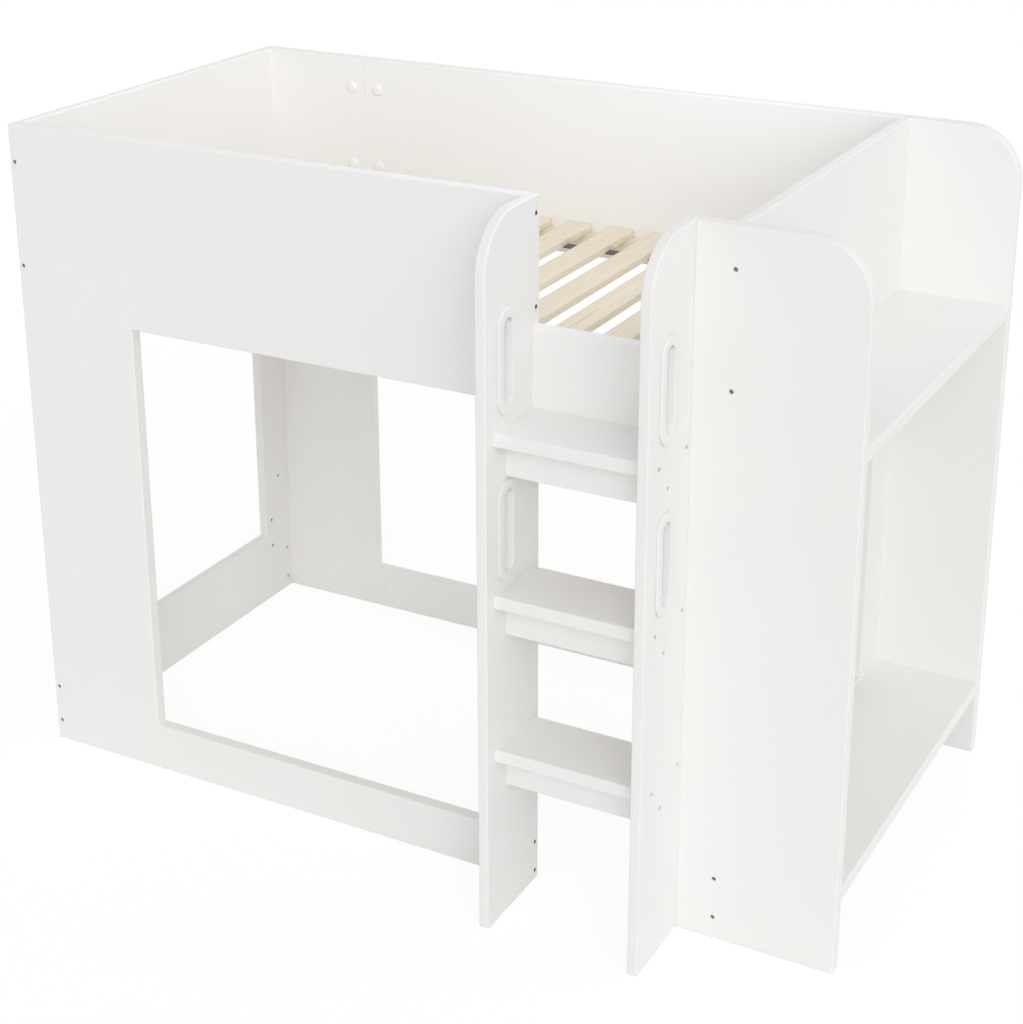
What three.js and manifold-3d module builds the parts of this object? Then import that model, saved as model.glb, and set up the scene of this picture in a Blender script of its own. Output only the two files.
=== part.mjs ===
// A panel bunk bed with a front ladder and an open bookcase at its right-hand end.
// Millimetres, +Z up. The bed is drawn from the outer left end of its front wall:
// X runs along the bed, Y runs from the front wall to the back wall.

import * as THREE from 'three'
import { mergeVertices } from 'three/addons/utils/BufferGeometryUtils.js'
import Module from 'manifold-3d'

const wasm = await Module()
wasm.setup()

// Driving sizes of the bed.
const insideLength = 1622
const insideDepth = 910
const height = 1470
const wallThickness = 28
const endThickness = 22
const easedEdge = 3
const easeSteps = 2
const cornerRadius = 115
const cornerSteps = 18

// Front and back walls.
const pillarWidth = 296
const guardHeight = 414
const wallRailHeight = 111

// Left end and cross panel, each a frame of four boards.
const endRailHeight = 184
const endPostWidth = 108

// Bookcase between the side panels, past the cross panel.
const bookcaseDepth = 242
const sidePanelOverlap = 66
const shelfThickness = 28
const upperShelfLift = 2
const lowerShelfDrop = 4

// Ladder in front of the wall.
const ladderReach = 185
const ladderInnerWidth = 304
const treadCount = 3
const treadRise = 331.5
const treadDepth = 154
const treadThickness = 28
const apronThickness = 22
const apronHeight = 75
const apronSetback = 47
const entranceRailRise = 161

// Moulded hand grips, two halves in each slot of a ladder side.
const gripOpeningWidth = 35
const gripOpeningHeight = 168
const gripFlangeWidth = 20.5
const gripFlangeThickness = 4
const gripSleeveWall = 2.7
const gripInset = 83
const upperGripAboveTread = 126
const lowerGripAboveTread = 117.5
const gripArcSteps = 8
const lipSteps = 3
const fitGap = 0.3

// Slatted base of the upper bed.
const battenWidth = 28
const battenHeight = 36
const battenLift = 26
const slatCount = 14
const slatWidth = 62
const slatThickness = 18
const slatEndSpace = 84.5
const slatSideGap = 2
const strapWidth = 32
const strapThickness = 1.5
const strapInset = 117
const strapEndSpace = 70

// Bolts: each head sits at the bottom of a plain round pocket.
const pocketDiameter = 10
const pocketDepth = 6
const pocketSides = 14
const cutOverrun = 4
const endBoltFromTop = 82
const endBoltFromGuardBottom = 102
const endBoltInRail = 48
const guardBoltFromTop = 35
const guardBoltFromBottom = 197
const railBoltInset = 21.5
const treadBoltFromFront = 18
const treadBoltFromBack = 15
const seamFittingSpace = 37
const postFittingInset = 82
const postBoltAboveSeam = 150
const postBoltInset = 44
const cornerBoltInset = 17
const cornerBoltHeights = [30, 114]

// White caps over the fittings that join the back wall's boards.
const capDiameter = 26
const capThickness = 5
const capRound = 2
const capSides = 24
const capFromTop = 75
const capFromGuardBottom = 148

// Places that follow from the sizes.
const guardBottom = height - guardHeight
const depth = insideDepth + 2 * wallThickness
const crossPanelStart = endThickness + insideLength
const crossPanelEnd = crossPanelStart + endThickness
const length = crossPanelEnd + bookcaseDepth
const sidePanelStart = crossPanelStart - sidePanelOverlap
const rightSideStart = sidePanelStart - endThickness
const leftSideStart = rightSideStart - ladderInnerWidth - endThickness
const treadStart = leftSideStart + endThickness
const backFace = depth - wallThickness
const treadTop = (step) => guardBottom - (treadCount - 1 - step) * treadRise

// Finishes.
const lacquer = new THREE.MeshStandardMaterial({ color: '#f1f0ee', roughness: 0.42, metalness: 0 })
const pine = new THREE.MeshStandardMaterial({ color: '#e6dcc6', roughness: 0.62, metalness: 0 })
const webbing = new THREE.MeshStandardMaterial({ color: '#5a554e', roughness: 0.9, metalness: 0 })
const gripPlastic = new THREE.MeshStandardMaterial({ color: '#f3f2f1', roughness: 0.35, metalness: 0 })
const capPlastic = new THREE.MeshStandardMaterial({ color: '#efeeeb', roughness: 0.38, metalness: 0 })

// The bed group puts the origin at the bottom centre of the whole bed, ladder included.
const bed = new THREE.Group()
bed.position.set(-length / 2, -(depth - ladderReach) / 2, 0)

// The three ways a board can stand. Its outline is drawn in the first two axes, and
// its thickness follows the third.
const alongWall = new THREE.Matrix4().makeBasis(
  new THREE.Vector3(1, 0, 0), new THREE.Vector3(0, 0, 1), new THREE.Vector3(0, -1, 0))
const alongEnd = new THREE.Matrix4().makeBasis(
  new THREE.Vector3(0, 1, 0), new THREE.Vector3(0, 0, 1), new THREE.Vector3(1, 0, 0))
const flat = new THREE.Matrix4()

// Gives an outline its round corners: each corner is [u, v, radius, steps].
function roundedOutline(corners) {
  const points = []
  corners.forEach(([u, v, radius, steps], index) => {
    const before = corners[(index + corners.length - 1) % corners.length]
    const after = corners[(index + 1) % corners.length]
    const corner = new THREE.Vector2(u, v)
    const arrive = new THREE.Vector2(before[0], before[1]).sub(corner).normalize()
    const leave = new THREE.Vector2(after[0], after[1]).sub(corner).normalize()
    const centre = corner.clone().addScaledVector(arrive, radius).addScaledVector(leave, radius)
    for (let step = 0; step <= steps; step++) {
      const turn = (step / steps) * (Math.PI / 2)
      const point = centre.clone()
      point.addScaledVector(leave, -radius * Math.cos(turn))
      point.addScaledVector(arrive, -radius * Math.sin(turn))
      points.push(point)
    }
  })
  return points
}

// A rectangle from [u0, v0] to [u1, v1] with eased corners. topRadius rounds the corner
// at its upper high-u end, and lowRadius the one at its upper low-u end.
function boardOutline(u0, v0, u1, v1, topRadius = 0, lowRadius = 0) {
  const corner = (u, v, radius) => (radius > 0
    ? [u, v, radius, cornerSteps]
    : [u, v, easedEdge, easeSteps])
  return roundedOutline([
    corner(u0, v0, 0), corner(u1, v0, 0), corner(u1, v1, topRadius), corner(u0, v1, lowRadius),
  ])
}

// An upright slot with round ends, as a hole in an outline.
function slotOutline(u, v, width, tall) {
  const radius = width / 2
  const reach = tall / 2 - radius
  const points = []
  for (const end of [1, -1]) {
    for (let step = 0; step <= gripArcSteps; step++) {
      const turn = (step / gripArcSteps) * Math.PI
      const du = end * radius * Math.cos(turn)
      const dv = end * (reach + radius * Math.sin(turn))
      points.push(new THREE.Vector2(u + du, v + dv))
    }
  }
  return points
}

// Leaves position alone on a geometry and joins its equal points.
function welded(geometry) {
  geometry.deleteAttribute('normal')
  geometry.deleteAttribute('uv')
  return mergeVertices(geometry)
}

function toSolid(geometry) {
  const closed = welded(geometry)
  return new wasm.Manifold(new wasm.Mesh({
    numProp: 3,
    vertProperties: new Float32Array(closed.attributes.position.array),
    triVerts: new Uint32Array(closed.index.array),
  }))
}

function toGeometry(solid) {
  const mesh = solid.getMesh()
  const geometry = new THREE.BufferGeometry()
  geometry.setAttribute('position', new THREE.Float32BufferAttribute(mesh.vertProperties, 3))
  geometry.setIndex(Array.from(mesh.triVerts))
  geometry.computeVertexNormals()
  return geometry
}

// Adds one named piece to the bed, with its geometry at the given place.
function addPiece(name, geometry, material, x, y, z) {
  const mesh = new THREE.Mesh(geometry, material)
  mesh.name = name
  mesh.position.set(x, y, z)
  bed.add(mesh)
  return mesh
}

// A pocket for a bolt head, sunk from a face of a board. axis is the way it is drilled.
function pocket(u, v, face, inward) {
  const tall = pocketDepth + cutOverrun
  const geometry = new THREE.CylinderGeometry(pocketDiameter / 2, pocketDiameter / 2, tall, pocketSides)
  geometry.rotateX(Math.PI / 2)
  geometry.translate(u, v, face + inward * (pocketDepth - cutOverrun) / 2)
  return geometry
}

// A flat board: an outline of given thickness with all its edges eased, with bolt
// pockets in its near face (the low side of its thickness) and its far face.
function board(outline, thickness, stand, { slots = [], near = [], far = [] } = {}) {
  const shape = new THREE.Shape(outline)
  slots.forEach((slot) => shape.holes.push(new THREE.Path(slot)))
  const geometry = new THREE.ExtrudeGeometry(shape, {
    depth: thickness - 2 * easedEdge,
    bevelThickness: easedEdge,
    bevelSize: easedEdge,
    bevelOffset: -easedEdge,
    bevelSegments: easeSteps,
    steps: 1,
  })
  geometry.translate(0, 0, easedEdge)
  const pockets = [
    ...near.map(([u, v]) => pocket(u, v, 0, 1)),
    ...far.map(([u, v]) => pocket(u, v, thickness, -1)),
  ]
  if (pockets.length === 0) {
    return geometry.applyMatrix4(stand)
  }
  let solid = toSolid(geometry)
  pockets.forEach((cut) => {
    solid = solid.subtract(toSolid(cut))
  })
  return toGeometry(solid).applyMatrix4(stand)
}

// Boards that stand in a wall, drawn as seen from the front. front holds the pockets in
// the face towards -Y and back those in the face towards +Y.
function wallBoard(name, outline, y, { front = [], back = [] } = {}) {
  const geometry = board(outline, wallThickness, alongWall, { near: back, far: front })
  return addPiece(name, geometry, lacquer, 0, y + wallThickness, 0)
}

// Boards that stand across the bed, drawn as seen from its left. left holds the pockets
// in the face towards -X and right those in the face towards +X.
function endBoard(name, outline, x, { left = [], right = [], slots = [] } = {}) {
  const geometry = board(outline, endThickness, alongEnd, { near: left, far: right, slots })
  return addPiece(name, geometry, lacquer, x, 0, 0)
}

// Boards that lie flat.
function flatBoard(name, outline, thickness, z, material = lacquer) {
  return addPiece(name, board(outline, thickness, flat), material, 0, 0, z)
}

// Where the walls are bolted to a board across the bed whose low-X face is at x.
function endBolts(x) {
  const middle = x + endThickness / 2
  return [
    [middle, height - endBoltFromTop],
    [middle, guardBottom + endBoltFromGuardBottom],
    [middle, endRailHeight - endBoltInRail],
    [middle, endBoltInRail],
  ]
}

// The front wall and the back wall. The ladder breaks the front wall between its sides.
function addWall(side, y, guardEnd, pockets) {
  const bolts = (x) => ({ [pockets]: endBolts(x) })
  wallBoard(`${side}_left_pillar`, boardOutline(0, 0, pillarWidth, height), y, bolts(0))
  wallBoard(`${side}_guard`, boardOutline(pillarWidth, guardBottom, guardEnd, height), y)
  wallBoard(`${side}_lower_rail`, boardOutline(pillarWidth, 0, guardEnd, wallRailHeight), y)
  const panel = boardOutline(sidePanelStart, 0, length, height, cornerRadius)
  wallBoard(`${side}_side_panel`, panel, y, bolts(crossPanelStart))
}

// A frame of four boards between the walls: an upper board, a rail on the floor and
// two posts, with the pockets of its joining bolts in the face named by inner.
function addEndFrame(name, x, inner) {
  const low = wallThickness
  const high = backFace
  const seamBolts = [low + postFittingInset, high - postFittingInset]
  const cornerBolts = [low + cornerBoltInset, high - cornerBoltInset]
  const railPockets = seamBolts.map((y) => [y, endRailHeight - seamFittingSpace])
  cornerBoltHeights.forEach((z) => cornerBolts.forEach((y) => railPockets.push([y, z])))
  const postPockets = (seamY, boltY) => [
    [seamY, endRailHeight + seamFittingSpace],
    [boltY, endRailHeight + postBoltAboveSeam],
  ]
  const frontPockets = postPockets(seamBolts[0], low + postBoltInset)
  const backPockets = postPockets(seamBolts[1], high - postBoltInset)
  endBoard(`${name}_panel`, boardOutline(low, guardBottom, high, height), x)
  endBoard(`${name}_rail`, boardOutline(low, 0, high, endRailHeight), x, { [inner]: railPockets })
  const front = boardOutline(low, endRailHeight, low + endPostWidth, guardBottom)
  endBoard(`${name}_front_post`, front, x, { [inner]: frontPockets })
  const back = boardOutline(high - endPostWidth, endRailHeight, high, guardBottom)
  endBoard(`${name}_back_post`, back, x, { [inner]: backPockets })
}

// Heights of the hand grips' middles.
const gripHeights = [
  treadTop(treadCount - 2) + lowerGripAboveTread,
  treadTop(treadCount - 1) + upperGripAboveTread,
]
const gripY = gripInset - ladderReach

// Bolts through a ladder side into the treads and their aprons, as [y, z].
function treadBolts() {
  const places = []
  for (let step = 0; step < treadCount; step++) {
    const middle = treadTop(step) - treadThickness / 2
    const apronMiddle = treadTop(step) - treadThickness - apronHeight / 2
    places.push([treadBoltFromFront - treadDepth, middle])
    places.push([-treadBoltFromBack, middle])
    places.push([apronSetback + apronThickness / 2 - treadDepth, apronMiddle])
  }
  return places
}

// Bolts through the left ladder side into the ends of the guard and the lower rail.
function guardBolts() {
  const middle = wallThickness / 2
  return [
    [middle, height - guardBoltFromTop],
    [middle, guardBottom + guardBoltFromBottom],
    [middle, wallRailHeight - railBoltInset],
    [middle, railBoltInset],
  ]
}

// The two sides of the ladder, each one board with a big round at its top front corner.
function addLadderSide(name, x, pockets) {
  const outline = boardOutline(-ladderReach, 0, wallThickness, height, 0, cornerRadius)
  const slotWidth = gripOpeningWidth + 2 * (gripSleeveWall + fitGap)
  const slotHeight = gripOpeningHeight + 2 * (gripSleeveWall + fitGap)
  const slots = gripHeights.map((z) => slotOutline(gripY, z, slotWidth, slotHeight))
  return endBoard(name, outline, x, { ...pockets, slots })
}

// One half of a hand grip: a ring with a rounded flange on the board's face and a sleeve
// that lines the slot as far as the middle of the board. Its section is [n, w] points,
// n out from the opening's edge and w out from the middle of the board.
function gripSection() {
  const face = endThickness / 2
  const top = face + gripFlangeThickness
  const round = gripFlangeThickness - fitGap
  const points = [[0, fitGap / 2]]
  for (let step = 0; step <= lipSteps; step++) {
    const turn = (step / lipSteps) * (Math.PI / 2)
    points.push([round * (1 - Math.cos(turn)), top - round * (1 - Math.sin(turn))])
  }
  for (let step = 0; step <= lipSteps; step++) {
    const turn = (step / lipSteps) * (Math.PI / 2)
    const n = gripFlangeWidth - round * (1 - Math.sin(turn))
    points.push([n, top - round * (1 - Math.cos(turn))])
  }
  points.push([gripFlangeWidth, face], [gripSleeveWall, face], [gripSleeveWall, fitGap / 2])
  return points
}

// Sweeps the section round the opening. side is 1 for the half on the +X face of the
// board and -1 for the one on its -X face.
function gripGeometry(side) {
  const section = gripSection()
  const radius = gripOpeningWidth / 2
  const reach = gripOpeningHeight / 2 - radius
  const stations = []
  for (const end of [1, -1]) {
    for (let step = 0; step <= gripArcSteps; step++) {
      const turn = (step / gripArcSteps) * Math.PI
      stations.push([end * Math.cos(turn), end * Math.sin(turn), end * reach])
    }
  }
  const positions = []
  stations.forEach(([across, up, shift]) => {
    section.forEach(([n, w]) => {
      const out = radius + n
      positions.push(side * w, out * across, shift + out * up)
    })
  })
  const index = []
  const rows = stations.length
  const columns = section.length
  for (let row = 0; row < rows; row++) {
    for (let column = 0; column < columns; column++) {
      const a = row * columns + column
      const b = row * columns + (column + 1) % columns
      const c = ((row + 1) % rows) * columns + (column + 1) % columns
      const d = ((row + 1) % rows) * columns + column
      index.push(...(side > 0 ? [a, b, c, a, c, d] : [a, c, b, a, d, c]))
    }
  }
  const geometry = new THREE.BufferGeometry()
  geometry.setAttribute('position', new THREE.Float32BufferAttribute(positions, 3))
  geometry.setIndex(index)
  geometry.computeVertexNormals()
  return geometry
}

function addGrips(name, x) {
  const places = ['lower', 'upper']
  places.forEach((place, index) => {
    const middle = x + endThickness / 2
    const z = gripHeights[index]
    addPiece(`${name}_${place}_grip_outer`, gripGeometry(1), gripPlastic, middle, gripY, z)
    addPiece(`${name}_${place}_grip_inner`, gripGeometry(-1), gripPlastic, middle, gripY, z)
  })
}

// The treads, each with an apron under it, and the rail across the entrance.
function addTreads() {
  const treadEnd = treadStart + ladderInnerWidth
  const apronFront = apronSetback - treadDepth
  for (let step = 0; step < treadCount; step++) {
    const top = treadTop(step)
    const number = step + 1
    const tread = boardOutline(treadStart, -treadDepth, treadEnd, 0)
    flatBoard(`tread_${number}`, tread, treadThickness, top - treadThickness)
    const low = top - treadThickness - apronHeight
    const apron = board(boardOutline(treadStart, low, treadEnd, low + apronHeight), apronThickness, alongWall)
    addPiece(`tread_apron_${number}`, apron, lacquer, 0, apronFront + apronThickness, 0)
  }
  const railLow = guardBottom - treadThickness
  const rail = boardOutline(treadStart, railLow, treadEnd, guardBottom + entranceRailRise)
  wallBoard('entrance_rail', rail, 0)
}

function addShelves() {
  const outline = boardOutline(crossPanelEnd, wallThickness, length, backFace)
  flatBoard('upper_shelf', outline, shelfThickness, guardBottom + upperShelfLift)
  flatBoard('lower_shelf', outline, shelfThickness, endRailHeight - lowerShelfDrop - shelfThickness)
}

// Two battens carry the slats, and two webbing straps under them keep them apart.
function addSlattedBase() {
  const battenBottom = guardBottom + battenLift
  const slatBottom = battenBottom + battenHeight
  const battenOutline = (y) => boardOutline(endThickness, y, crossPanelStart, y + battenWidth)
  flatBoard('front_batten', battenOutline(wallThickness), battenHeight, battenBottom, pine)
  flatBoard('back_batten', battenOutline(backFace - battenWidth), battenHeight, battenBottom, pine)
  const firstSlat = endThickness + slatEndSpace
  const pitch = (insideLength - 2 * slatEndSpace - slatWidth) / (slatCount - 1)
  for (let index = 0; index < slatCount; index++) {
    const x = firstSlat + index * pitch
    const outline = boardOutline(x, wallThickness + slatSideGap, x + slatWidth, backFace - slatSideGap)
    const number = String(index + 1).padStart(2, '0')
    flatBoard(`slat_${number}`, outline, slatThickness, slatBottom, pine)
  }
  const strapLength = insideLength - 2 * strapEndSpace
  const strapY = { front: wallThickness + strapInset, back: backFace - strapInset - strapWidth }
  for (const [side, y] of Object.entries(strapY)) {
    const strap = new THREE.BoxGeometry(strapLength, strapWidth, strapThickness)
    strap.translate(strapLength / 2, strapWidth / 2, strapThickness / 2)
    addPiece(`${side}_strap`, strap, webbing, endThickness + strapEndSpace, y, slatBottom - strapThickness)
  }
}

// A low round cap with a rounded rim, on the face of the back wall inside the bed.
function capGeometry() {
  const radius = capDiameter / 2
  const profile = [new THREE.Vector2(0, 0), new THREE.Vector2(radius, 0)]
  for (let step = 0; step <= lipSteps; step++) {
    const turn = (step / lipSteps) * (Math.PI / 2)
    const r = radius - capRound * (1 - Math.cos(turn))
    profile.push(new THREE.Vector2(r, capThickness - capRound * (1 - Math.sin(turn))))
  }
  profile.push(new THREE.Vector2(0, capThickness))
  return new THREE.LatheGeometry(profile, capSides)
}

// Caps stand in pairs on both sides of the seam between the back pillar and its
// neighbours: two pairs on the guard and one on the lower rail.
function addCaps() {
  const heights = [wallRailHeight / 2, guardBottom + capFromGuardBottom, height - capFromTop]
  const places = ['rail', 'guard_low', 'guard_high']
  places.forEach((place, index) => {
    const sides = { left: -seamFittingSpace, right: seamFittingSpace }
    for (const [side, shift] of Object.entries(sides)) {
      const mesh = addPiece(`cover_cap_${place}_${side}`, capGeometry(), capPlastic,
        pillarWidth + shift, backFace, heights[index])
      mesh.rotation.x = Math.PI
    }
  })
}

addWall('front', 0, leftSideStart, 'front')
addWall('back', backFace, sidePanelStart, 'back')
addEndFrame('left_end', 0, 'right')
addEndFrame('cross', crossPanelStart, 'left')
addLadderSide('ladder_left_side', leftSideStart, { left: treadBolts(), right: guardBolts() })
addLadderSide('ladder_right_side', rightSideStart, { right: treadBolts(), left: guardBolts() })
addGrips('left_side', leftSideStart)
addGrips('right_side', rightSideStart)
addTreads()
addShelves()
addSlattedBase()
addCaps()

const group = new THREE.Group()
group.add(bed)

export default group
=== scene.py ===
# %% [markdown]
# # A white panel bunk bed
# The bed is a kit of flat lacquered boards, so most of its character comes from small
# things: softly rounded edges that catch the light, seams between boards, socket bolts
# sunk in their pockets, moulded hand grips and a slatted base of planed pine. This
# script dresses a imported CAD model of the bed. The CAD boards give every size and place,
# and each visible piece is either a finer copy of one or is made anew in its place.

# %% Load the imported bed
import math
import random

import bmesh
import bpy
from mathutils import Matrix, Vector


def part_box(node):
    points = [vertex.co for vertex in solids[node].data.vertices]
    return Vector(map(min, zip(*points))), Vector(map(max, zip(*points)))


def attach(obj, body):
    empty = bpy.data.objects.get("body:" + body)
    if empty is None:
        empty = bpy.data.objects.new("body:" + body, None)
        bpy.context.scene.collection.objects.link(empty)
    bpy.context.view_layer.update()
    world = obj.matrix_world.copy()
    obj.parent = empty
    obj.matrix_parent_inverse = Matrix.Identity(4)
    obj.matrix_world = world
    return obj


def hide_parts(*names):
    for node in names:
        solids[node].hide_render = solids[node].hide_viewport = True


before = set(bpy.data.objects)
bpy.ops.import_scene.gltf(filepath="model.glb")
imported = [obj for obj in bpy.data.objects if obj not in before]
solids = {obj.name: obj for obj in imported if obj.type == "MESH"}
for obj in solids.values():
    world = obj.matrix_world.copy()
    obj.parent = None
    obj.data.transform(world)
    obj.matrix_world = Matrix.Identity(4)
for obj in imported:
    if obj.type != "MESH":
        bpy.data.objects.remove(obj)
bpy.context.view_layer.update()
mm = 0.001

# %% [markdown]
# ## Small helpers
# Colours are written as the sRGB hex values that a paint chart would give, and one
# function turns them into the linear values that Blender calculates with, by the curve of
# the sRGB standard. One more function adds a node, sets it and links its inputs, which
# keeps each material short enough to read as a recipe.


# %% Helpers for colours and nodes
full_channel = 0xFF
straight_end_share = 0.04045
straight_slope = 12.92
curve_offset_share = 0.055
curve_power = 2.4
half_share = 0.5


def linear(share):
    if share <= straight_end_share:
        return share / straight_slope
    return ((share + curve_offset_share) / (1 + curve_offset_share)) ** curve_power


def colour(hex_code):
    channels = bytes.fromhex(hex_code[1:])
    return (*[linear(channel / full_channel) for channel in channels], 1)


def add(tree, kind, inputs=None, **settings):
    node = tree.nodes.new(kind)
    for name, value in settings.items():
        setattr(node, name, value)
    for socket, value in (inputs or {}).items():
        if isinstance(value, bpy.types.NodeSocket):
            tree.links.new(value, node.inputs[socket])
        else:
            node.inputs[socket].default_value = value
    return node


def start_material(name):
    material = bpy.data.materials.new(name)
    material.use_nodes = True
    material.node_tree.nodes.clear()
    return material, material.node_tree


def end_material(tree, shader):
    add(tree, "ShaderNodeOutputMaterial", {"Surface": shader})


def put_in_scene(name, mesh):
    piece = bpy.data.objects.new(name, mesh)
    bpy.context.scene.collection.objects.link(piece)
    return piece


def ramp(tree, factor, stops):
    node = add(tree, "ShaderNodeValToRGB", {"Fac": factor})
    while len(node.color_ramp.elements) < len(stops):
        node.color_ramp.elements.new(1)
    for element, (place, hex_code) in zip(node.color_ramp.elements, stops):
        element.position = place
        element.color = colour(hex_code)
    return node.outputs["Color"]


print("a mid grey is", [round(share, 3) for share in colour("#808080")[:3]])

# %% [markdown]
# ## White satin lacquer
# The boards are wood fibre board sprayed with a water-based lacquer. Sprayed lacquer is
# never quite flat: it dries with a faint orange peel of gentle bumps two or three
# millimetres across, and its gloss drifts a little over a board. The colour is a warm
# white that yellows by a hair in broad clouds. All three are noise textures, and the
# size of each cloud or bump is worked out from millimetres. A noise texture's scale is
# how many features fit in one metre, because Object coordinates are metres here.

# %% Lacquer on the boards
peel_size = 2.6 * mm
peel_height = 0.011 * mm
cloud_size = 420 * mm
gloss_drift_size = 90 * mm
broad_detail = 3
drift_detail = 4
fine_detail = 2
noise_low_share = 0.3
noise_high_share = 0.7
lacquer_roughnesses = (0.40, 0.50)
lacquer_ior = 1.5


def noise(tree, place, size, detail):
    node = add(tree, "ShaderNodeTexNoise", {"Vector": place, "Scale": 1 / size, "Detail": detail})
    return node.outputs["Fac"]


def drifting(tree, factor, roughnesses):
    low, high = roughnesses
    return add(tree, "ShaderNodeMapRange", {
        "Value": factor, "From Min": noise_low_share, "From Max": noise_high_share,
        "To Min": low, "To Max": high}).outputs["Result"]


def bumped(tree, height, distance):
    return add(tree, "ShaderNodeBump", {
        "Height": height, "Distance": distance, "Strength": 1}).outputs["Normal"]


def lacquer(name, light_hex, dark_hex):
    material, tree = start_material(name)
    place = add(tree, "ShaderNodeTexCoord").outputs["Object"]
    clouds = noise(tree, place, cloud_size, broad_detail)
    tint = ramp(tree, clouds, [(noise_low_share, dark_hex), (noise_high_share, light_hex)])
    drift = noise(tree, place, gloss_drift_size, drift_detail)
    peel = noise(tree, place, peel_size, fine_detail)
    shader = add(tree, "ShaderNodeBsdfPrincipled", {
        "Base Color": tint, "Roughness": drifting(tree, drift, lacquer_roughnesses),
        "Normal": bumped(tree, peel, peel_height), "IOR": lacquer_ior})
    end_material(tree, shader.outputs["BSDF"])
    return material


white_lacquer = lacquer("white satin lacquer", "#F5F4F3", "#F4F3F1")
print("orange peel:", round(1 / peel_size), "bumps a metre")

# %% [markdown]
# ## Planed pine
# The slats and the battens under them are sawn pine, planed but not varnished. A strip is
# cut from the trunk beside its heart, so its growth rings are circles round a line that
# runs along the strip, a few centimetres off. Where the flat top cuts them they show as
# long soft lines, wide apart in the middle and closer at the edges. Pale spring wood
# fades into a slightly darker summer line in each ring. The strip carries the place of
# its heart as an attribute, with a number of its own that shifts the noise, so no two
# strips look cut from the same place.

# %% Pine, with its grain along one axis
ring_spacing = 3.6 * mm
ring_bend = 7 * mm
ring_bend_length = 700 * mm
ring_bend_width = 70 * mm
fibre_width = 0.9 * mm
fibre_length = 45 * mm
fibre_height = 0.05 * mm
fibre_strength_share = 0.7
knot_spacing = 420 * mm
knot_stretch_share = 1.6
knot_size = 11 * mm
knot_core_share = 0.5
knot_strength_share = 0.6
knot_hex = "#A9804F"
strip_shift = 3.7
bend_roughness_share = 0.45
pine_roughness = 0.62
pine_ior = 1.45
ring_colours = [
    (0.0, "#F3E9D7"), (0.6, "#F1E7D2"), (0.88, "#E7D8BA"), (0.96, "#ECDFC7"), (1.0, "#F3E9D7")]
streak_colours = [(0.35, "#F2F0EC"), (0.7, "#FFFFFF")]


def stretched(tree, place, across, along, axis):
    sizes = [1 / across] * 3
    sizes[axis] = 1 / along
    return add(tree, "ShaderNodeMapping", {"Vector": place, "Scale": sizes}).outputs["Vector"]


def growth_rings(tree, start, place, axis):
    heart = add(tree, "ShaderNodeAttribute", attribute_name="heart").outputs["Vector"]
    arm = add(tree, "ShaderNodeVectorMath", {0: start, 1: heart}, operation="SUBTRACT").outputs[0]
    bend = add(tree, "ShaderNodeTexNoise", {
        "Vector": stretched(tree, place, ring_bend_width, ring_bend_length, axis),
        "Scale": 1, "Detail": broad_detail, "Roughness": bend_roughness_share})
    sway = add(tree, "ShaderNodeVectorMath", {0: bend.outputs["Color"], 1: [ring_bend] * 3},
               operation="MULTIPLY").outputs[0]
    bent = add(tree, "ShaderNodeVectorMath", {0: arm, 1: sway}, operation="ADD").outputs[0]
    flat = add(tree, "ShaderNodeVectorMath", {0: bent, 1: [side != axis for side in range(3)]},
               operation="MULTIPLY").outputs[0]
    far = add(tree, "ShaderNodeVectorMath", {0: flat}, operation="LENGTH").outputs["Value"]
    turns = add(tree, "ShaderNodeMath", {0: far, 1: 1 / ring_spacing}, operation="MULTIPLY").outputs[0]
    return add(tree, "ShaderNodeMath", {0: turns}, operation="FRACT").outputs[0]


def pine(name, axis):
    material, tree = start_material(name)
    own = add(tree, "ShaderNodeAttribute", attribute_name="strip").outputs["Fac"]
    shift = add(tree, "ShaderNodeMath", {0: own, 1: strip_shift}, operation="MULTIPLY").outputs[0]
    shifts = add(tree, "ShaderNodeCombineXYZ", {"X": shift, "Y": shift, "Z": shift}).outputs[0]
    start = add(tree, "ShaderNodeTexCoord").outputs["Object"]
    place = add(tree, "ShaderNodeVectorMath", {0: start, 1: shifts}, operation="ADD").outputs[0]
    wood = ramp(tree, growth_rings(tree, start, place, axis), ring_colours)
    grain = stretched(tree, place, fibre_width, fibre_length, axis)
    fibres = add(tree, "ShaderNodeTexNoise", {
        "Vector": grain, "Scale": 1, "Detail": broad_detail}).outputs["Fac"]
    streaks = ramp(tree, fibres, streak_colours)
    fibred = add(tree, "ShaderNodeMix", {"Factor": fibre_strength_share, "A": wood, "B": streaks},
                 data_type="RGBA", blend_type="MULTIPLY")
    knots = add(tree, "ShaderNodeTexVoronoi", {
        "Vector": stretched(tree, place, knot_spacing, knot_spacing * knot_stretch_share, axis),
        "Scale": 1})
    knot_share = knot_size / knot_spacing
    knot = add(tree, "ShaderNodeMapRange", {
        "Value": knots.outputs["Distance"],
        "From Min": knot_share * knot_core_share, "From Max": knot_share,
        "To Min": knot_strength_share, "To Max": 0})
    return finish_pine(material, tree, fibred, knot, fibres)


def finish_pine(material, tree, fibred, knot, fibres):
    knotted = add(tree, "ShaderNodeMix", {
        "Factor": knot.outputs["Result"], "A": fibred.outputs["Result"], "B": colour(knot_hex)},
        data_type="RGBA")
    shader = add(tree, "ShaderNodeBsdfPrincipled", {
        "Base Color": knotted.outputs["Result"], "Roughness": pine_roughness,
        "Normal": bumped(tree, fibres, fibre_height), "IOR": pine_ior})
    end_material(tree, shader.outputs["BSDF"])
    return material


slat_pine = pine("planed pine slats", axis=1)
batten_pine = pine("planed pine battens", axis=0)
print("growth rings:", round(1 / ring_spacing), "a metre")

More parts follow.
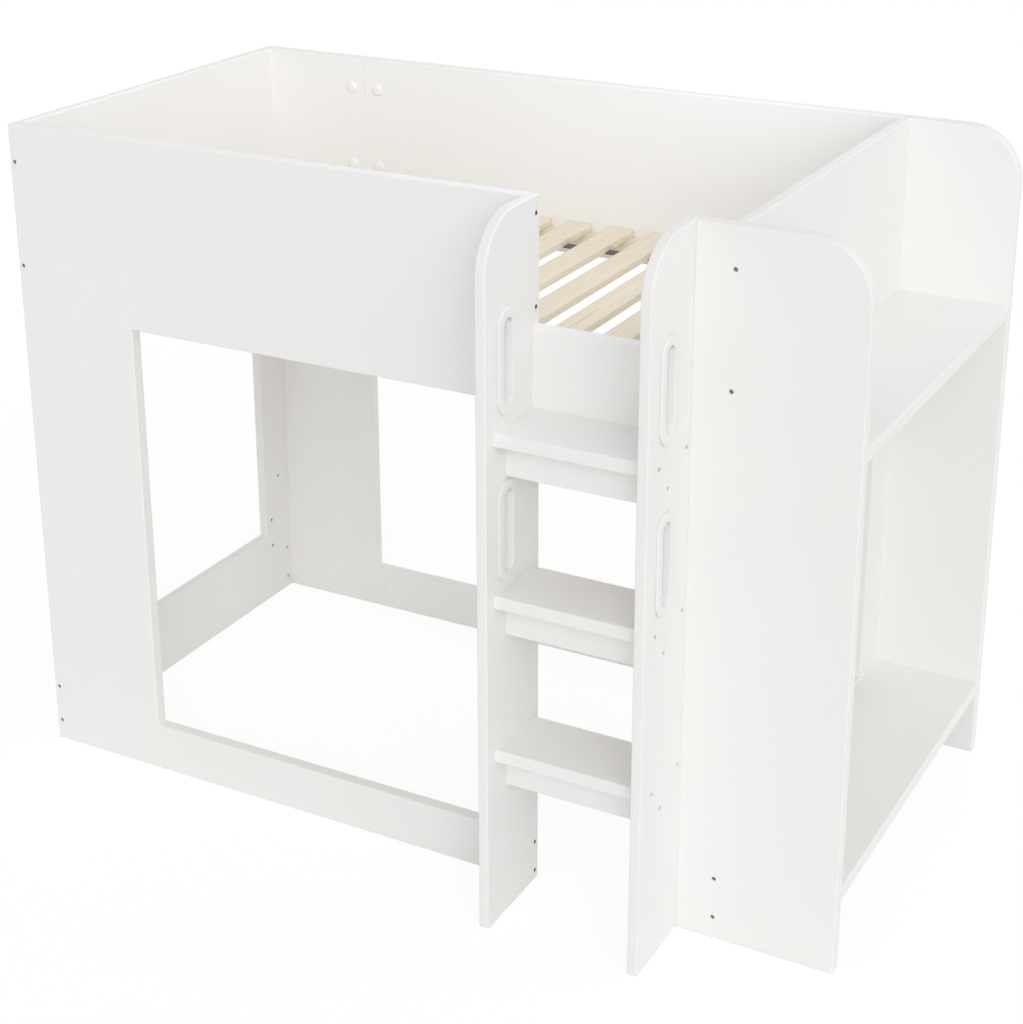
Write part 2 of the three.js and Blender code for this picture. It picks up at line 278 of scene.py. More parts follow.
# %% [markdown]
# ## Moulded plastics, webbing and steel
# The hand grips and caps are injection moulded. The mould is spark eroded, which leaves a
# fine even texture and a soft gloss. The upper end of a grip's slot has painted shade: its
# colour is darkened where the surface is enclosed and faces down, standing in for the
# shadow under the top of the slot. The straps are woven polypropylene webbing: a
# herringbone of ribs that run in two slanting directions. The bolt heads are zinc plated
# steel, a metal with a fine blotchy dulling; a few are very dark steel, which is painted
# shade in their pockets.

# %% Plastics
mould_texture_size = 0.9 * mm
mould_texture_height = 0.012 * mm
gloss_spread = 0.04
plastic_ior = 1.53
tight_reach = 30 * mm
tight_samples = 8
open_share = 0.97
tight_share = 0.75
level_facing = -0.2
downward_facing = -0.7


# Painted shade: the colour darkens on enclosed faces that point down, standing in for the shadow at the
# top of a grip slot.
def painted_shade_colour(tree, unshaded_hex, shade_hex):
    space = add(tree, "ShaderNodeAmbientOcclusion", {"Distance": tight_reach},
                only_local=True, samples=tight_samples)
    tight = add(tree, "ShaderNodeMapRange", {
        "Value": space.outputs["AO"], "From Min": open_share, "From Max": tight_share})
    facing = add(tree, "ShaderNodeNewGeometry").outputs["Normal"]
    up = add(tree, "ShaderNodeSeparateXYZ", {0: facing}).outputs["Z"]
    under = add(tree, "ShaderNodeMapRange", {
        "Value": up, "From Min": level_facing, "From Max": downward_facing})
    shade_amount = add(tree, "ShaderNodeMath", {0: tight.outputs["Result"], 1: under.outputs["Result"]},
               operation="MULTIPLY").outputs[0]
    return ramp(tree, shade_amount, [(0.0, unshaded_hex), (1.0, shade_hex)])


def moulded(name, hex_code, roughness, shade_hex=None):
    material, tree = start_material(name)
    place = add(tree, "ShaderNodeTexCoord").outputs["Object"]
    grain = noise(tree, place, mould_texture_size, 1)
    drift = noise(tree, place, gloss_drift_size, fine_detail)
    gloss = drifting(tree, drift, (roughness - gloss_spread, roughness + gloss_spread))
    base = painted_shade_colour(tree, hex_code, shade_hex) if shade_hex else colour(hex_code)
    shader = add(tree, "ShaderNodeBsdfPrincipled", {
        "Base Color": base, "Roughness": gloss,
        "Normal": bumped(tree, grain, mould_texture_height), "IOR": plastic_ior})
    end_material(tree, shader.outputs["BSDF"])
    return material


# The grip's darker second colour is painted shade for the upper end of its slot.
grip_plastic = moulded("moulded white ABS", "#F3F2F1", roughness=0.46, shade_hex="#9A9793")
cap_plastic = moulded("moulded white polyethylene", "#F4F3F1", roughness=0.42)
print("mould texture:", round(1 / mould_texture_size), "grains a metre")

# %% Webbing and steel
rib_spacing = 2.4 * mm
rib_height = 0.3 * mm
chevron_width = 16 * mm
webbing_roughness = 0.85
sheen_share = 0.15
sheen_roughness = 0.5
plating_spot_size = 1.5 * mm
plating_roughnesses = (0.28, 0.46)


def webbing(name):
    material, tree = start_material(name)
    place = add(tree, "ShaderNodeSeparateXYZ", {0: add(tree, "ShaderNodeTexCoord").outputs["Object"]})
    fold = add(tree, "ShaderNodeMath", {0: place.outputs["Y"], 1: chevron_width}, operation="PINGPONG")
    slant = add(tree, "ShaderNodeMath", {0: place.outputs["X"], 1: fold.outputs[0]}, operation="ADD")
    turns = add(tree, "ShaderNodeMath", {0: slant.outputs[0], 1: math.tau / rib_spacing},
                operation="MULTIPLY")
    rib = add(tree, "ShaderNodeMath", {0: turns.outputs[0]}, operation="SINE")
    height = add(tree, "ShaderNodeMapRange", {"Value": rib.outputs[0], "From Min": -1, "From Max": 1})
    weave = ramp(tree, height.outputs["Result"], [(0.0, "#4A453F"), (1.0, "#665F57")])
    shader = add(tree, "ShaderNodeBsdfPrincipled", {
        "Base Color": weave, "Roughness": webbing_roughness,
        "Normal": bumped(tree, height.outputs["Result"], rib_height),
        "Sheen Weight": sheen_share, "Sheen Roughness": sheen_roughness})
    end_material(tree, shader.outputs["BSDF"])
    return material


def plated(name, hex_code):
    material, tree = start_material(name)
    place = add(tree, "ShaderNodeTexCoord").outputs["Object"]
    spots = noise(tree, place, plating_spot_size, fine_detail)
    shader = add(tree, "ShaderNodeBsdfPrincipled", {
        "Base Color": colour(hex_code), "Metallic": 1,
        "Roughness": drifting(tree, spots, plating_roughnesses)})
    end_material(tree, shader.outputs["BSDF"])
    return material


strap_webbing = webbing("woven polypropylene webbing")
zinc = plated("zinc plated steel", "#8E8C88")
# Very dark steel, used as painted shade: it fills the shaded clamp bolt pockets.
pocket_shade_steel = plated("dark steel for painted pocket shade", "#302E2B")
print("webbing ribs:", round(1 / rib_spacing), "a metre")

# %% [markdown]
# ## Where boards meet
# A fitted board is drawn tight against its neighbour, so a joint shows as a hairline and
# not as a dark groove. The CAD boards just touch, each with its eased edges. Here every
# board face that is covered by other boards is found from the boxes round the boards, so
# that the copy made next can be pressed a little way home.

# %% Find the faces that other boards cover
board_names = [
    *(f"{side}_{part}" for side in ("front", "back")
      for part in ("left_pillar", "guard", "lower_rail", "side_panel")),
    *(f"{frame_name}_{part}" for frame_name in ("left_end", "cross")
      for part in ("panel", "rail", "front_post", "back_post")),
    "ladder_left_side", "ladder_right_side", "entrance_rail", "upper_shelf", "lower_shelf",
    *(f"{part}_{number}" for part in ("tread", "tread_apron") for number in (1, 2, 3)),
]
boxes = {name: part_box(name) for name in board_names}
touch_gap = 0.5 * mm
covered_share = 0.9


def is_covered(name, axis, end):
    own = boxes[name]
    across = [other for other in range(3) if other != axis]
    whole = math.prod(own[1][side] - own[0][side] for side in across)
    touched = 0
    for other_name, other in boxes.items():
        if other_name == name or abs(other[1 - end][axis] - own[end][axis]) > touch_gap:
            continue
        laps = [
            min(own[1][side], other[1][side]) - max(own[0][side], other[0][side]) for side in across]
        if min(laps) > 0:
            touched += math.prod(laps)
    return touched > covered_share * whole


covered_faces = {
    name: [(axis, end) for axis in range(3) for end in (0, 1) if is_covered(name, axis, end)]
    for name in board_names}
print("covered faces:", sum(len(faces) for faces in covered_faces.values()))

# %% [markdown]
# ## The boards
# A board's edges are eased to a radius of three millimetres before it is sprayed, and
# that thin curve draws a light line round every board. The CAD board already has the
# curve as two narrow facets. A copy of it is joined up, its covered faces are pressed a
# little way into their neighbours, and it is shaded smooth with normals weighted by face
# area. Then the big faces stay truly flat and the facets blend from one face into the
# next, which looks like a full round at no cost in geometry. The panel beside the ladder
# is pressed in less, because its joint shows as a thin dark line.

# %% Copy each board with soft edges
weld_distance = 0.01 * mm
sharp_turn = math.radians(55)
eased_edge = 3.01 * mm
press_depth = 2.6 * mm
panel_press_depth = 1.3 * mm
face_area_weight = 100


def smooth_copy(node_name, piece_name, material):
    depth = panel_press_depth if node_name == "front_side_panel" else press_depth
    joined = bmesh.new()
    joined.from_mesh(solids[node_name].data)
    bmesh.ops.remove_doubles(joined, verts=joined.verts, dist=weld_distance)
    for axis, end in covered_faces[node_name]:
        face_place = boxes[node_name][end][axis]
        for vertex in joined.verts:
            if abs(vertex.co[axis] - face_place) < eased_edge:
                vertex.co[axis] += depth if end == 1 else -depth
    mesh = bpy.data.meshes.new(piece_name)
    joined.to_mesh(mesh)
    joined.free()
    mesh.materials.append(material)
    mesh.shade_smooth()
    mesh.set_sharp_from_angle(angle=sharp_turn)
    piece = put_in_scene(piece_name, mesh)
    weighting = piece.modifiers.new("flat faces stay flat", "WEIGHTED_NORMAL")
    weighting.keep_sharp = True
    weighting.weight = face_area_weight
    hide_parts(node_name)
    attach(piece, "root")
    return piece


boards = {
    name: smooth_copy(name, f"{name}_board", white_lacquer) for name in board_names}
print("boards:", len(boards))

# %% [markdown]
# ## Socket bolts in their pockets
# Each bolt head lies at the bottom of a round pocket. The places are found on the boards
# themselves: a pocket floor is the only flat patch with the area of a ten millimetre
# disc. A Geometry Nodes tree then cuts one hexagon socket into one head and sets a copy
# in every pocket, turned to face out of it. The bolts that clamp the ladder's left side to
# the front wall get very dark steel heads that nearly fill their pockets: painted shade,
# standing in for the shadow in those pockets, which lie in the shade of the ladder's right side.

# %% Find the pocket floors
pocket_diameter = 10 * mm
floor_area_share_low = 0.9
same_facing = 0.9999


def flat_patches(mesh):
    joined = bmesh.new()
    joined.from_mesh(mesh)
    joined.faces.ensure_lookup_table()
    seen = set()
    for first in joined.faces:
        if first.index in seen:
            continue
        seen.add(first.index)
        patch, queue = [], [first]
        while queue:
            face = queue.pop()
            patch.append(face)
            for edge in face.edges:
                for other in edge.link_faces:
                    if other.index not in seen and other.normal.dot(first.normal) > same_facing:
                        seen.add(other.index)
                        queue.append(other)
        corners = {vertex for face in patch for vertex in face.verts}
        middle = sum((vertex.co for vertex in corners), Vector()) / len(corners)
        yield sum(face.calc_area() for face in patch), middle, first.normal.copy()
    joined.free()


disc_area = math.pi * (pocket_diameter / 2) ** 2
pockets = [
    (middle, facing) for board in boards.values()
    for area, middle, facing in flat_patches(board.data)
    if floor_area_share_low * disc_area < area < disc_area]
print("pockets:", len(pockets))


# %% Set a socket head in each pocket
def input_sockets(tree, sockets):
    for name, kind in sockets.items():
        tree.interface.new_socket(name, in_out="INPUT", socket_type=kind)
    tree.interface.new_socket("Geometry", in_out="OUTPUT", socket_type="NodeSocketGeometry")
    return add(tree, "NodeGroupInput").outputs


def baked(name, mesh, tree, values):
    piece = put_in_scene(name, mesh)
    modifier = piece.modifiers.new(tree.name, "NODES")
    modifier.node_group = tree
    for item in tree.interface.items_tree:
        if item.in_out == "INPUT" and item.name in values:
            modifier[item.identifier] = values[item.name]
    seen = piece.evaluated_get(bpy.context.evaluated_depsgraph_get())
    result = bpy.data.meshes.new_from_object(seen)
    piece.modifiers.remove(modifier)
    piece.data = result
    result.name = name
    return piece


def points_mesh(name, places):
    mesh = bpy.data.meshes.new(name)
    mesh.from_pydata([place for place, facing in places], [], [])
    facing_values = mesh.attributes.new("facing", "FLOAT_VECTOR", "POINT")
    for item, (place, facing) in zip(facing_values.data, places):
        item.vector = facing
    return mesh


def raised_by_half(tree, height):
    half = add(tree, "ShaderNodeMath", {0: height, 1: half_share}, operation="MULTIPLY").outputs[0]
    return add(tree, "ShaderNodeCombineXYZ", {"Z": half}).outputs[0]


def set_on_points(tree, points, shape, material):
    facing = add(tree, "GeometryNodeInputNamedAttribute", {"Name": "facing"},
                 data_type="FLOAT_VECTOR")
    turn = add(tree, "FunctionNodeAlignRotationToVector", {"Vector": facing.outputs["Attribute"]},
               axis="Z")
    copies = add(tree, "GeometryNodeInstanceOnPoints", {
        "Points": points, "Instance": shape, "Rotation": turn.outputs["Rotation"]})
    real = add(tree, "GeometryNodeRealizeInstances", {"Geometry": copies.outputs["Instances"]})
    painted = add(tree, "GeometryNodeSetMaterial", {
        "Geometry": real.outputs["Geometry"], "Material": material})
    add(tree, "NodeGroupOutput", {"Geometry": painted.outputs["Geometry"]})


head_corners = 24
hexagon_corners = 6


def socket_head_tree():
    tree = bpy.data.node_groups.new("socket heads", "GeometryNodeTree")
    given = input_sockets(tree, {
        "Geometry": "NodeSocketGeometry", "Head Radius": "NodeSocketFloat",
        "Head Height": "NodeSocketFloat", "Socket Radius": "NodeSocketFloat",
        "Material": "NodeSocketMaterial"})
    head = add(tree, "GeometryNodeMeshCylinder", {
        "Vertices": head_corners, "Radius": given["Head Radius"], "Depth": given["Head Height"]})
    hexagon = add(tree, "GeometryNodeMeshCylinder", {
        "Vertices": hexagon_corners, "Radius": given["Socket Radius"],
        "Depth": given["Head Height"]})
    up = raised_by_half(tree, given["Head Height"])
    cutter = add(tree, "GeometryNodeTransform", {"Geometry": hexagon.outputs["Mesh"], "Translation": up})
    cut = add(tree, "GeometryNodeMeshBoolean", {
        "Mesh 1": head.outputs["Mesh"], "Mesh 2": cutter.outputs["Geometry"]}, operation="DIFFERENCE")
    seated = add(tree, "GeometryNodeTransform", {
        "Geometry": cut.outputs["Mesh"], "Translation": up})
    set_on_points(tree, given["Geometry"], seated.outputs["Geometry"], given["Material"])
    return tree


ladder_inner_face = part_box("ladder_left_side")[1].x
socket_radius = 2.9 * mm
zinc_head_radius = 4.6 * mm
zinc_head_height = 3.2 * mm
clamp_head_radius = 4.8 * mm
clamp_head_height = 5.2 * mm


def is_clamp(pocket):
    place, facing = pocket
    return facing.x > 0 and abs(place.x - ladder_inner_face) < pocket_diameter


head_shape = socket_head_tree()
head_kinds = {
    "socket_bolt_heads": (False, zinc_head_radius, zinc_head_height, zinc),
    # Heads that nearly fill their pockets, in very dark steel: painted shade for those pockets.
    "clamp_bolt_heads": (True, clamp_head_radius, clamp_head_height, pocket_shade_steel),
}
for name, (clamps, radius, height, metal) in head_kinds.items():
    places = [pocket for pocket in pockets if is_clamp(pocket) == clamps]
    heads = baked(name, points_mesh(f"{name} pockets", places), head_shape, {
        "Head Radius": radius, "Head Height": height, "Socket Radius": socket_radius,
        "Material": metal})
    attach(heads, "root")
    print(name, len(places))

# %% [markdown]
# ## Cover caps
# Low domed caps hide the fittings that join the boards of the walls. One tree shapes the
# cap from a cylinder, by sinking its top more and more towards the rim, and sets a copy
# at each place. The six on the back wall stand in for their CAD solids, and the front
# wall has the same six on its inner face.

# %% Caps on both walls
cap_names = [name for name in solids if name.startswith("cover_cap")]
cap_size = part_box(cap_names[0])[1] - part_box(cap_names[0])[0]
front_inner_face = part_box("front_guard")[1].y
back_inner_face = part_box("back_guard")[0].y
cap_corners = 48
cap_rings = 10
cap_dome = 2.4 * mm
dome_power = 5


def cap_tree():
    tree = bpy.data.node_groups.new("cover caps", "GeometryNodeTree")
    given = input_sockets(tree, {
        "Geometry": "NodeSocketGeometry", "Radius": "NodeSocketFloat", "Height": "NodeSocketFloat",
        "Dome": "NodeSocketFloat", "Material": "NodeSocketMaterial"})
    disc = add(tree, "GeometryNodeMeshCylinder", {
        "Vertices": cap_corners, "Side Segments": 1, "Fill Segments": cap_rings,
        "Radius": given["Radius"], "Depth": given["Height"]})
    place = add(tree, "GeometryNodeInputPosition").outputs[0]
    parts = add(tree, "ShaderNodeSeparateXYZ", {0: place})
    flat = add(tree, "ShaderNodeCombineXYZ", {"X": parts.outputs["X"], "Y": parts.outputs["Y"]})
    reach = add(tree, "ShaderNodeVectorMath", {0: flat.outputs[0]}, operation="LENGTH").outputs["Value"]
    share = add(tree, "ShaderNodeMath", {0: reach, 1: given["Radius"]}, operation="DIVIDE").outputs[0]
    curve = add(tree, "ShaderNodeMath", {0: share, 1: dome_power}, operation="POWER").outputs[0]
    sink = add(tree, "ShaderNodeMath", {0: curve, 1: given["Dome"]}, operation="MULTIPLY").outputs[0]
    down = add(tree, "ShaderNodeMath", {0: sink, 1: -1}, operation="MULTIPLY").outputs[0]
    drop = add(tree, "ShaderNodeCombineXYZ", {"Z": down}).outputs[0]
    top = add(tree, "FunctionNodeCompare", {"A": parts.outputs["Z"], "B": 0.0},
              data_type="FLOAT", operation="GREATER_THAN").outputs["Result"]
    domed = add(tree, "GeometryNodeSetPosition", {
        "Geometry": disc.outputs["Mesh"], "Selection": top, "Offset": drop})
    up = raised_by_half(tree, given["Height"])
    seated = add(tree, "GeometryNodeTransform", {
        "Geometry": domed.outputs["Geometry"], "Translation": up})
    set_on_points(tree, given["Geometry"], seated.outputs["Geometry"], given["Material"])
    return tree


cap_places = {"back": [], "front": []}
for name in cap_names:
    middle = (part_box(name)[0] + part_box(name)[1]) / 2
    cap_places["back"].append((Vector((middle.x, back_inner_face, middle.z)), Vector((0, -1, 0))))
    cap_places["front"].append((Vector((middle.x, front_inner_face, middle.z)), Vector((0, 1, 0))))
cap_shape = cap_tree()
for wall, places in cap_places.items():
    caps = baked(f"{wall}_wall_caps", points_mesh(f"{wall} cap places", places), cap_shape, {
        "Radius": cap_size.x / 2, "Height": cap_size.y, "Dome": cap_dome, "Material": cap_plastic})
    caps.data.shade_smooth()
    caps.data.set_sharp_from_angle(angle=sharp_turn)
    if wall == "back":
        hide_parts(*cap_names)
    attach(caps, "root")
print("caps:", sum(len(places) for places in cap_places.values()))

# %% [markdown]
# ## Slats, battens and straps
# A slat is a planed strip with its long edges rounded. One tree makes any strip of the
# bed: it draws a rounded rectangle, sweeps it from one point to another, and bends the
# result by a few tenths of a millimetre, as dried wood does. The same tree, with other
# sizes, makes the battens and the webbing straps.


# %% A strip from one point to another
strip_steps = 40
strip_edge_steps = 4
bow_scale = 3


def strip_tree():
    tree = bpy.data.node_groups.new("planed strip", "GeometryNodeTree")
    given = input_sockets(tree, {
        "Start": "NodeSocketVector", "End": "NodeSocketVector", "Width": "NodeSocketFloat",
        "Thickness": "NodeSocketFloat", "Edge Radius": "NodeSocketFloat", "Warp": "NodeSocketFloat",
        "Seed": "NodeSocketFloat", "Heart": "NodeSocketVector", "Material": "NodeSocketMaterial"})
    line = add(tree, "GeometryNodeCurvePrimitiveLine", {"Start": given["Start"], "End": given["End"]})
    steps = add(tree, "GeometryNodeResampleCurve", {
        "Curve": line.outputs["Curve"], "Count": strip_steps})
    level = add(tree, "GeometryNodeSetCurveNormal", {"Curve": steps.outputs["Curve"]}, mode="Z_UP")
    outline = add(tree, "GeometryNodeCurvePrimitiveQuadrilateral", {
        "Width": given["Width"], "Height": given["Thickness"]})
    rounded = add(tree, "GeometryNodeFilletCurve", {
        "Curve": outline.outputs["Curve"], "Radius": given["Edge Radius"],
        "Count": strip_edge_steps}, mode="POLY")
    swept = add(tree, "GeometryNodeCurveToMesh", {
        "Curve": level.outputs["Curve"], "Profile Curve": rounded.outputs["Curve"],
        "Fill Caps": True})
    place = add(tree, "GeometryNodeInputPosition").outputs[0]
    bow = add(tree, "ShaderNodeTexNoise", {
        "Vector": place, "W": given["Seed"], "Scale": bow_scale, "Detail": 1}, noise_dimensions="4D")
    centred = add(tree, "ShaderNodeMath", {0: bow.outputs["Fac"], 1: half_share},
                  operation="SUBTRACT").outputs[0]
    rise = add(tree, "ShaderNodeMath", {0: centred, 1: given["Warp"]},
               operation="MULTIPLY").outputs[0]
    offset = add(tree, "ShaderNodeCombineXYZ", {"Z": rise}).outputs[0]
    warped = add(tree, "GeometryNodeSetPosition", {"Geometry": swept.outputs["Mesh"], "Offset": offset})
    kept = add(tree, "GeometryNodeStoreNamedAttribute", {
        "Geometry": warped.outputs["Geometry"], "Name": "strip", "Value": given["Seed"]},
        data_type="FLOAT", domain="POINT")
    hearted = add(tree, "GeometryNodeStoreNamedAttribute", {
        "Geometry": kept.outputs["Geometry"], "Name": "heart", "Value": given["Heart"]},
        data_type="FLOAT_VECTOR", domain="POINT")
    painted = add(tree, "GeometryNodeSetMaterial", {
        "Geometry": hearted.outputs["Geometry"], "Material": given["Material"]})
    add(tree, "NodeGroupOutput", {"Geometry": painted.outputs["Geometry"]})
    return tree


strip_shape = strip_tree()
heart_sideways = 24 * mm
heart_nearest = 26 * mm
heart_farthest = 64 * mm


def heart_of(middle, axis, seed):
    chance = random.Random(seed)
    heart = middle.copy()
    heart[1 - axis] += chance.uniform(-heart_sideways, heart_sideways)
    heart.z += chance.choice((-1, 1)) * chance.uniform(heart_nearest, heart_farthest)
    return heart


def strip_in_place_of(node_name, piece_name, axis, edge_radius, warp, seed, material):
    low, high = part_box(node_name)
    middle, size = (low + high) / 2, high - low
    start, end = middle.copy(), middle.copy()
    start[axis] = low[axis]
    end[axis] = high[axis]
    piece = baked(piece_name, bpy.data.meshes.new(piece_name), strip_shape, {
        "Start": start, "End": end, "Width": size[1 - axis], "Thickness": size.z,
        "Edge Radius": edge_radius, "Warp": warp, "Seed": seed,
        "Heart": heart_of(middle, axis, seed), "Material": material})
    piece.data.shade_smooth()
    piece.data.set_sharp_from_angle(angle=sharp_turn)
    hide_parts(node_name)
    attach(piece, "root")
    return piece


# %% Lay the slats on the battens
slat_names = sorted(name for name in solids if name.startswith("slat_"))
slat_edge = 3 * mm
wood_warp = 0.5 * mm
batten_edge = 2 * mm
batten_seeds = {"front": 21.0, "back": 22.0}
strap_edge = 0.6 * mm
slats = [
    strip_in_place_of(
        name, f"{name}_pine", 1, slat_edge, wood_warp, float(number), slat_pine)
    for number, name in enumerate(slat_names)]
battens = [
    strip_in_place_of(
        f"{side}_batten", f"{side}_batten_pine", 0, batten_edge, 0.0, seed, batten_pine)
    for side, seed in batten_seeds.items()]
straps = [
    strip_in_place_of(
        f"{side}_strap", f"{side}_strap_webbing", 0, strap_edge, 0.0, 0.0, strap_webbing)
    for side in ("front", "back")]
slat_size = [round(side / mm, 1) for side in slats[0].dimensions]
print("slats:", len(slats), "battens:", len(battens), "straps:", len(straps))
print("a slat is", slat_size, "mm")

# %% [markdown]
# ## Moulded hand grips
# A grip is two rings that clip together through the slot, one from each face of the
# board. Each has a soft rounded flange on the board and a sleeve that lines the slot.
# The ring is a section swept round the slot's outline, two straights and two half
# circles. It is plain mesh code, because the outline is known point by point.

# %% The section and the sweep
opening_width = 35 * mm
flange_thickness = 4 * mm
sleeve_wall = 2.7 * mm
inner_lip_radius = 1.6 * mm
outer_lip_radius = 1.3 * mm
rim_undercut = 1.2 * mm
rim_gap = 1.5 * mm
lip_steps = 8
arc_steps = 32


def quarter(centre_n, centre_w, radius, from_turn, to_turn):
    turns = [from_turn + (to_turn - from_turn) * step / lip_steps for step in range(lip_steps + 1)]
    return [
        (centre_n + radius * math.cos(turn), centre_w + radius * math.sin(turn)) for turn in turns]


def grip_section(board_thickness, sleeve_end, flange_width):
    face = board_thickness / 2
    top = face + flange_thickness
    inner_lip = quarter(
        inner_lip_radius, top - inner_lip_radius, inner_lip_radius, math.pi, math.pi / 2)
    outer_lip = quarter(
        flange_width - outer_lip_radius, top - outer_lip_radius, outer_lip_radius, math.pi / 2, 0)
    return [
        (0, sleeve_end), *inner_lip, *outer_lip, (flange_width, face + rim_gap),
        (flange_width - rim_undercut, face + rim_gap), (flange_width - rim_undercut, face),
        (sleeve_wall, face), (sleeve_wall, sleeve_end)]


def slot_outline(reach):
    for end in (1, -1):
        for step in range(arc_steps + 1):
            turn = math.pi * step / arc_steps
            yield end * math.cos(turn), end * math.sin(turn), end * reach


def ring_mesh(name, section, reach, side, middle):
    ring = bmesh.new()
    rows = []
    for across, up, shift in slot_outline(reach):
        row = []
        for n, w in section:
            out = opening_width / 2 + n
            row.append(ring.verts.new(middle + Vector((side * w, out * across, shift + out * up))))
        rows.append(row)
    for row, after in zip(rows, rows[1:] + rows[:1]):
        for first in range(len(section)):
            second = (first + 1) % len(section)
            ring.faces.new((row[first], row[second], after[second], after[first]))
    bmesh.ops.recalc_face_normals(ring, faces=ring.faces)
    mesh = bpy.data.meshes.new(name)
    ring.to_mesh(mesh)
    ring.free()
    mesh.shade_smooth()
    mesh.set_sharp_from_angle(angle=sharp_turn)
    return mesh


# %% A ring for each half of the four grips
grips = []
for board_side in ("left", "right"):
    board_low, board_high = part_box(f"ladder_{board_side}_side")
    board_thickness = board_high.x - board_low.x
    board_middle = (board_high.x + board_low.x) / 2
    for place in ("lower", "upper"):
        for half, side in (("outer", 1), ("inner", -1)):
            node_name = f"{board_side}_side_{place}_grip_{half}"
            low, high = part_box(node_name)
            flange_width = (high.y - low.y - opening_width) / 2
            reach = (high.z - low.z - (high.y - low.y)) / 2
            sleeve_end = min(abs(low.x - board_middle), abs(high.x - board_middle))
            middle = Vector((board_middle, (low.y + high.y) / 2, (low.z + high.z) / 2))
            section = grip_section(board_thickness, sleeve_end, flange_width)
            mesh = ring_mesh(f"{node_name}_ring", section, reach, side, middle)
            mesh.materials.append(grip_plastic)
            grip = put_in_scene(f"{node_name}_ring", mesh)
            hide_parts(node_name)
            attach(grip, "root")
            grips.append(grip)
print("grip halves:", len(grips), "flange", round(flange_width / mm, 1), "mm wide")

# %% [markdown]
# ## Floor, light and camera
# The photograph is a bright catalogue shot on white. A white world lights everything
# evenly, and two wide soft suns from the front right lift the faces turned that way. A
# weaker one from the back right draws light lines along the far edges. The upper berth
# is a deep box, so it has two small lamps of its own that face its walls. The
# camera sees the floor and the world as plain white, with only a faint shadow left on the
# floor, by asking the Light Path node which kind of ray has arrived.

# %% Floor that keeps a faint shadow
floor_reach = 9.0
floor_drop = 0.2 * mm
shadow_share = 0.22
floor_glow = 1.08


def seen_directly(tree):
    path = add(tree, "ShaderNodeLightPath")
    some = add(tree, "ShaderNodeMath", {
        0: path.outputs["Is Camera Ray"], 1: path.outputs["Is Glossy Ray"]}, operation="MAXIMUM")
    return add(tree, "ShaderNodeMath", {
        0: some.outputs[0], 1: path.outputs["Is Transmission Ray"]}, operation="MAXIMUM").outputs[0]


floor_material, tree = start_material("pale studio floor")
matt = add(tree, "ShaderNodeBsdfDiffuse", {"Color": colour("#F4F4F3")})
glow = add(tree, "ShaderNodeEmission", {"Color": colour("#FFFFFF"), "Strength": floor_glow})
bright = add(tree, "ShaderNodeMixShader", {
    "Fac": shadow_share, 1: glow.outputs["Emission"], 2: matt.outputs["BSDF"]})
shown = add(tree, "ShaderNodeMixShader", {
    "Fac": seen_directly(tree), 1: matt.outputs["BSDF"], 2: bright.outputs["Shader"]})
end_material(tree, shown.outputs["Shader"])
floor_mesh = bpy.data.meshes.new("studio_floor")
corner_signs = ((-1, -1), (1, -1), (1, 1), (-1, 1))
corners = [(x * floor_reach, y * floor_reach, -floor_drop) for x, y in corner_signs]
floor_mesh.from_pydata(corners, [], [(0, 1, 2, 3)])
floor_mesh.materials.append(floor_material)
floor = put_in_scene("studio_floor", floor_mesh)
print("floor:", 2 * floor_reach, "m across")

# %% World and lamps
even_strength = 0.586
sun_spread = math.radians(40)
cool_white = "#E0EBFF"

world = bpy.data.worlds.new("white studio")
bpy.context.scene.world = world
world.use_nodes = True
tree = world.node_tree
tree.nodes.clear()
even = add(tree, "ShaderNodeBackground", {"Color": colour("#FFFFFF"), "Strength": even_strength})
plain = add(tree, "ShaderNodeBackground", {"Color": colour("#FFFFFF"), "Strength": 1})
both = add(tree, "ShaderNodeMixShader", {
    "Fac": seen_directly(tree), 1: even.outputs["Background"], 2: plain.outputs["Background"]})
add(tree, "ShaderNodeOutputWorld", {"Surface": both.outputs["Shader"]})


def hold(lamp, place, facing):
    holder = bpy.data.objects.new(lamp.name, lamp)
    holder.location = place
    holder.rotation_euler = Vector(facing).to_track_quat("-Z", "Y").to_euler()
    holder.visible_camera = False
    bpy.context.scene.collection.objects.link(holder)
    return holder


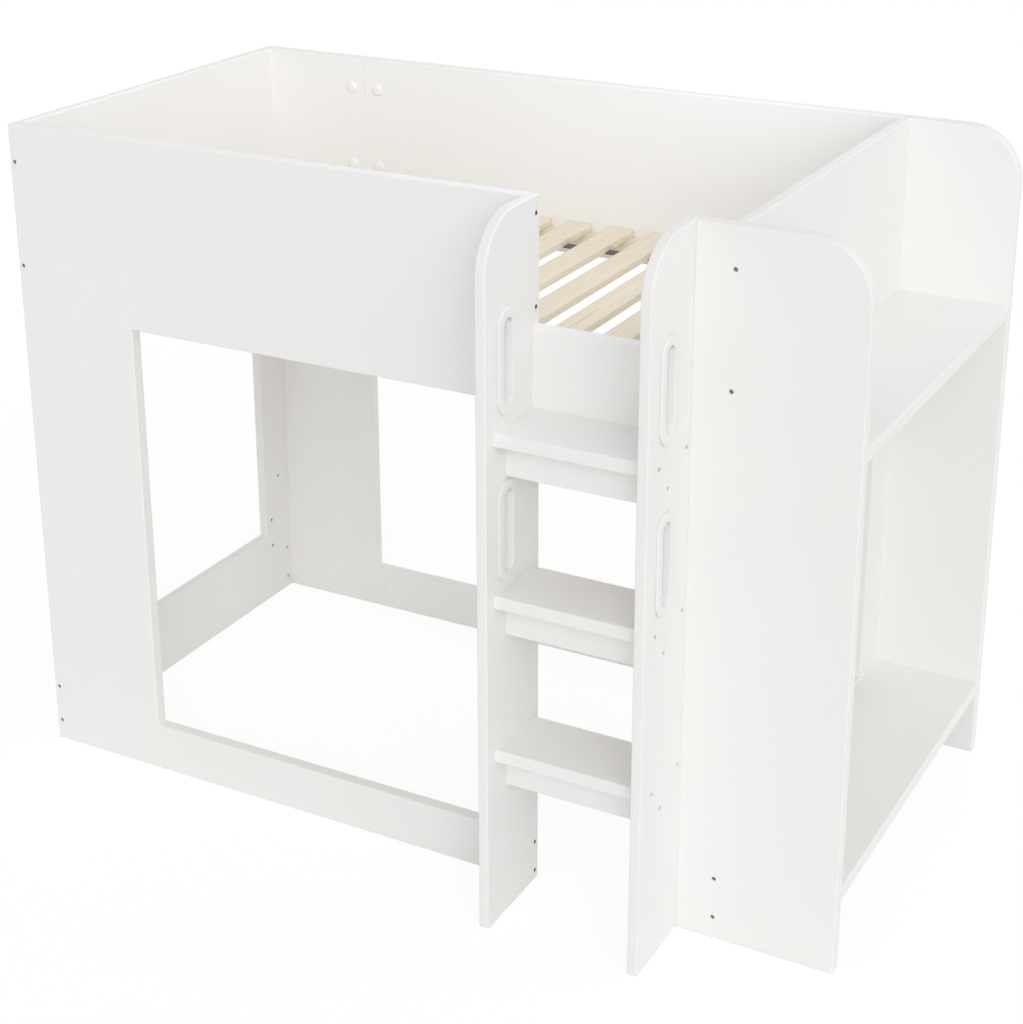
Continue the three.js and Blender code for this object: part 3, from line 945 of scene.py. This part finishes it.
def soft_sun(name, azimuth, elevation, power):
    lamp = bpy.data.lights.new(name, "SUN")
    lamp.angle = sun_spread
    lamp.energy = power
    across, up = math.radians(azimuth), math.radians(elevation)
    level = math.cos(up)
    facing = (-math.sin(across) * level, math.cos(across) * level, -math.sin(up))
    return hold(lamp, (0, 0, 0), facing)


def panel_lamp(name, place, aim, width, height, power):
    lamp = bpy.data.lights.new(name, "AREA")
    lamp.color = colour(cool_white)[:3]
    lamp.shape = "RECTANGLE"
    lamp.size = width
    lamp.size_y = height
    lamp.energy = power
    return hold(lamp, place, Vector(aim) - Vector(place))


lamps = [
    soft_sun("front right sun", azimuth=30, elevation=22, power=0.82),
    soft_sun("right hand sun", azimuth=60, elevation=35, power=0.41),
    soft_sun("back right sun", azimuth=135, elevation=40, power=0.32),
    panel_lamp("strip over the front guard", place=(-0.2, -0.25, 1.8), aim=(-0.2, 0.455, 1.25),
               width=1.4, height=0.3, power=0.64),
    panel_lamp("panel facing the left end", place=(0.5, 0.1, 1.9), aim=(-0.7, 0.3, 1.2),
               width=0.6, height=0.4, power=1.38),
]
bpy.context.scene.view_settings.view_transform = "Standard"
print("lamps:", len(lamps))

# %% [markdown]
# ## The camera
# The view was solved from the straight edges of the boards in the photograph. Its lens
# looks slightly down and is shifted a little, as when a tall picture is cropped.

# %% Camera from the solved view
picture_long_side = 1024
sensor_width = 36
solved_focal_pixels = 2037.8
solved_place = Vector((1.9785, -3.594, 2.4515))
solved_azimuth = math.radians(28.311)
solved_tilt = math.radians(19.440)
solved_roll = math.radians(-0.118)
lens_shift_share = -0.16
camera_data = bpy.data.cameras.new("catalogue view")
camera_data.sensor_width = sensor_width
camera_data.lens = solved_focal_pixels * sensor_width / picture_long_side
camera_data.shift_y = lens_shift_share
camera = bpy.data.objects.new("catalogue view", camera_data)
bpy.context.scene.collection.objects.link(camera)
camera.location = solved_place
pan = Matrix.Rotation(solved_azimuth, 3, "Z")
turn = pan @ Matrix.Rotation(math.pi / 2 - solved_tilt, 3, "X")
camera.rotation_euler = (turn @ Matrix.Rotation(solved_roll, 3, "Z")).to_euler()
bpy.context.scene.camera = camera
print("lens", round(camera_data.lens, 2), "mm")
